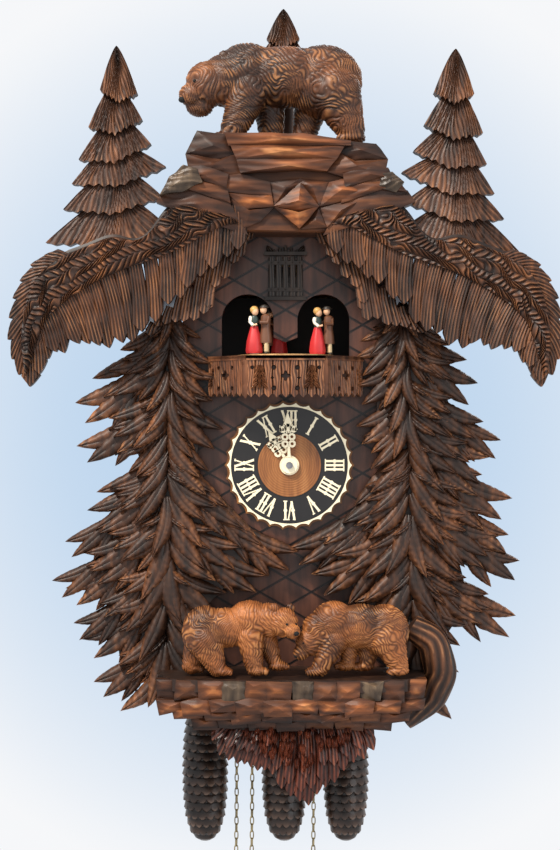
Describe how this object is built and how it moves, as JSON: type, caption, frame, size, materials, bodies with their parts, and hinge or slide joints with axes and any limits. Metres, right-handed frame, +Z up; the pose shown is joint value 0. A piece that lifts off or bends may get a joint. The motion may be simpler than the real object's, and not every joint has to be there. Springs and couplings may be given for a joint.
{
  "type": "cuckoo clock",
  "caption": "Carved wall cuckoo clock: gabled case, bears and firs, scalloped dial, balcony with dancers, chain-hung pine-cone weights.",
  "frame": {"origin": "centre of the hanger hole on the case's back plane", "axes": "+X to the clock's right as seen from the front, +Y into the wall, +Z up; the front faces -Y"},
  "size_m": [0.55, 0.269, 1.041],
  "materials": {
    "case_wood": "stained walnut, satin",
    "carved_wood": "dark stained linden with worn ridges",
    "bear_wood": "warm brown stained linden",
    "ledge_wood": "stained, pale glints on the facets",
    "balcony_wood": "stained, satin",
    "inner_wood": "raw pine",
    "dial_wood": "turned light brown wood",
    "cream": "ivory coloured",
    "black": "black",
    "brass": "plates and wheels",
    "chain_brass": "antiqued",
    "steel": "bare",
    "cone_iron": "brown lacquered",
    "paint": "painted figures"
  },
  "bodies": {
    "case": {"case_side_left": "case_wood", "case_side_right": "case_wood", "case_floor": "inner_wood", "front_panel": "case_wood", "back_panel": "inner_wood", "hanger_plate": "brass", "roof_board_left": "case_wood", "roof_board_right": "case_wood", "eave_bough_left": "carved_wood", "eave_bough_right": "carved_wood", "eave_fringe": "case_wood", "summit_rock": "ledge_wood", "summit_bear": "carved_wood", "roof_tree_left": "carved_wood", "roof_tree_right": "carved_wood", "side_tree_left": "carved_wood", "side_tree_right": "carved_wood", "ledge_rock": "ledge_wood", "ledge_fringe": "ledge_wood", "ledge_bear_left": "bear_wood", "ledge_bear_right": "bear_wood", "balcony_floor": "balcony_wood", "balcony_railing": "balcony_wood", "cuckoo_door_frame": "case_wood", "inner_supports": "inner_wood", "dial_base": "case_wood", "dial_cream_ring": "cream", "dial_black_ring": "black", "dial_centre": "dial_wood", "dial_numerals": "cream", "movement_frame": "brass", "gong": "steel", "bellows_boxes": "inner_wood", "music_comb": "steel"},
    "minute_works": {"minute_hand": "cream", "centre_arbor": "steel"},
    "hour_works": {"hour_hand": "cream"},
    "turntable": {"turntable": "inner_wood", "dancer_couples": "paint"},
    "music_drum": {"music_drum": "brass"},
    "cuckoo": {"cuckoo_bird": "paint"},
    "cuckoo_door": {"cuckoo_door": "case_wood"},
    "back_door": {"back_door": "inner_wood"},
    "pendulum": {"pendulum_leader": "steel", "pendulum_bob": "carved_wood"},
    "gong_hammer": {"gong_hammer": "steel"},
    "bellows_tops": {"bellows_tops": "inner_wood"},
    "night_lever": {"night_lever": "steel"},
    "weight_time": {"cone_weight_time": "cone_iron", "loaded_chain_time": "chain_brass"},
    "wheel_time": {"chain_wheel_time": "brass"},
    "free_time": {"free_chain_time": "chain_brass"},
    "weight_strike": {"cone_weight_strike": "cone_iron", "loaded_chain_strike": "chain_brass"},
    "wheel_strike": {"chain_wheel_strike": "brass"},
    "free_strike": {"free_chain_strike": "chain_brass"},
    "weight_music": {"cone_weight_music": "cone_iron", "loaded_chain_music": "chain_brass"},
    "wheel_music": {"chain_wheel_music": "brass"},
    "free_music": {"free_chain_music": "chain_brass"}
  },
  "joints": [
    {"name": "minute_turn", "type": "hinge", "parent": "case", "child": "minute_works", "pos_m": [0.004, -0.15, -0.213], "axis": [0, 1, 0], "continuous": true},
    {"name": "hour_turn", "type": "hinge", "parent": "case", "child": "hour_works", "pos_m": [0.004, -0.15, -0.213], "axis": [0, 1, 0], "continuous": true},
    {"name": "turntable_spin", "type": "hinge", "parent": "case", "child": "turntable", "pos_m": [0, -0.146, -0.1], "axis": [0, 0, 1], "continuous": true},
    {"name": "drum_spin", "type": "hinge", "parent": "case", "child": "music_drum", "pos_m": [0, -0.12, -0.335], "axis": [1, 0, 0], "continuous": true},
    {"name": "cuckoo_slide", "type": "slide", "parent": "case", "child": "cuckoo", "axis": [0, -1, 0], "range_m": [0, 0.034]},
    {"name": "cuckoo_door_hinge", "type": "hinge", "parent": "case", "child": "cuckoo_door", "pos_m": [-0.0185, -0.1543, -0.015], "axis": [0, 0, -1], "range_deg": [0, 100]},
    {"name": "back_door_hinge", "type": "hinge", "parent": "case", "child": "back_door", "pos_m": [-0.058, 0, -0.2], "axis": [0, 0, 1], "range_deg": [0, 110]},
    {"name": "pendulum_swing", "type": "hinge", "parent": "case", "child": "pendulum", "pos_m": [0, -0.021, -0.16], "axis": [0, 1, 0], "range_deg": [-5, 5]},
    {"name": "hammer_lift", "type": "hinge", "parent": "case", "child": "gong_hammer", "pos_m": [0.0363, -0.028, -0.132], "axis": [0, 1, 0], "range_deg": [0, 14]},
    {"name": "bellows_lift", "type": "hinge", "parent": "case", "child": "bellows_tops", "pos_m": [0, -0.066, -0.0477], "axis": [1, 0, 0], "range_deg": [-12, 0]},
    {"name": "night_lever_slide", "type": "slide", "parent": "case", "child": "night_lever", "axis": [0, 0, 1], "range_m": [0, 0.01]},
    {"name": "weight_time_drop", "type": "slide", "parent": "case", "child": "weight_time", "axis": [0, 0, -1], "range_m": [0, 0.13]},
    {"name": "wheel_time_turn", "type": "hinge", "parent": "case", "child": "wheel_time", "pos_m": [-0.0705, -0.065, -0.262], "axis": [0, 1, 0], "range_deg": [-430, 430]},
    {"name": "free_time_rise", "type": "slide", "parent": "case", "child": "free_time", "axis": [0, 0, 1], "range_m": [0, 0.13]},
    {"name": "weight_strike_drop", "type": "slide", "parent": "case", "child": "weight_strike", "axis": [0, 0, -1], "range_m": [0, 0.13]},
    {"name": "wheel_strike_turn", "type": "hinge", "parent": "case", "child": "wheel_strike", "pos_m": [-0.0185, -0.065, -0.262], "axis": [0, 1, 0], "range_deg": [-430, 430]},
    {"name": "free_strike_rise", "type": "slide", "parent": "case", "child": "free_strike", "axis": [0, 0, 1], "range_m": [0, 0.13]},
    {"name": "weight_music_drop", "type": "slide", "parent": "case", "child": "weight_music", "axis": [0, 0, -1], "range_m": [0, 0.13]},
    {"name": "wheel_music_turn", "type": "hinge", "parent": "case", "child": "wheel_music", "pos_m": [0.049, -0.065, -0.262], "axis": [0, 1, 0], "range_deg": [-430, 430]},
    {"name": "free_music_rise", "type": "slide", "parent": "case", "child": "free_music", "axis": [0, 0, 1], "range_m": [0, 0.13]}
  ],
  "couplings": [
    {"joint": "hour_turn", "follows": "minute_turn", "ratio": 0.083333},
    {"joint": "drum_spin", "follows": "turntable_spin", "ratio": -1},
    {"joint": "cuckoo_door_hinge", "follows": "cuckoo_slide", "rad_per_m": 51.323},
    {"joint": "wheel_time_turn", "follows": "weight_time_drop", "rad_per_m": -57.143},
    {"joint": "free_time_rise", "follows": "weight_time_drop", "ratio": 1},
    {"joint": "wheel_strike_turn", "follows": "weight_strike_drop", "rad_per_m": 57.143},
    {"joint": "free_strike_rise", "follows": "weight_strike_drop", "ratio": 1},
    {"joint": "wheel_music_turn", "follows": "weight_music_drop", "rad_per_m": 57.143},
    {"joint": "free_music_rise", "follows": "weight_music_drop", "ratio": 1}
  ]
}
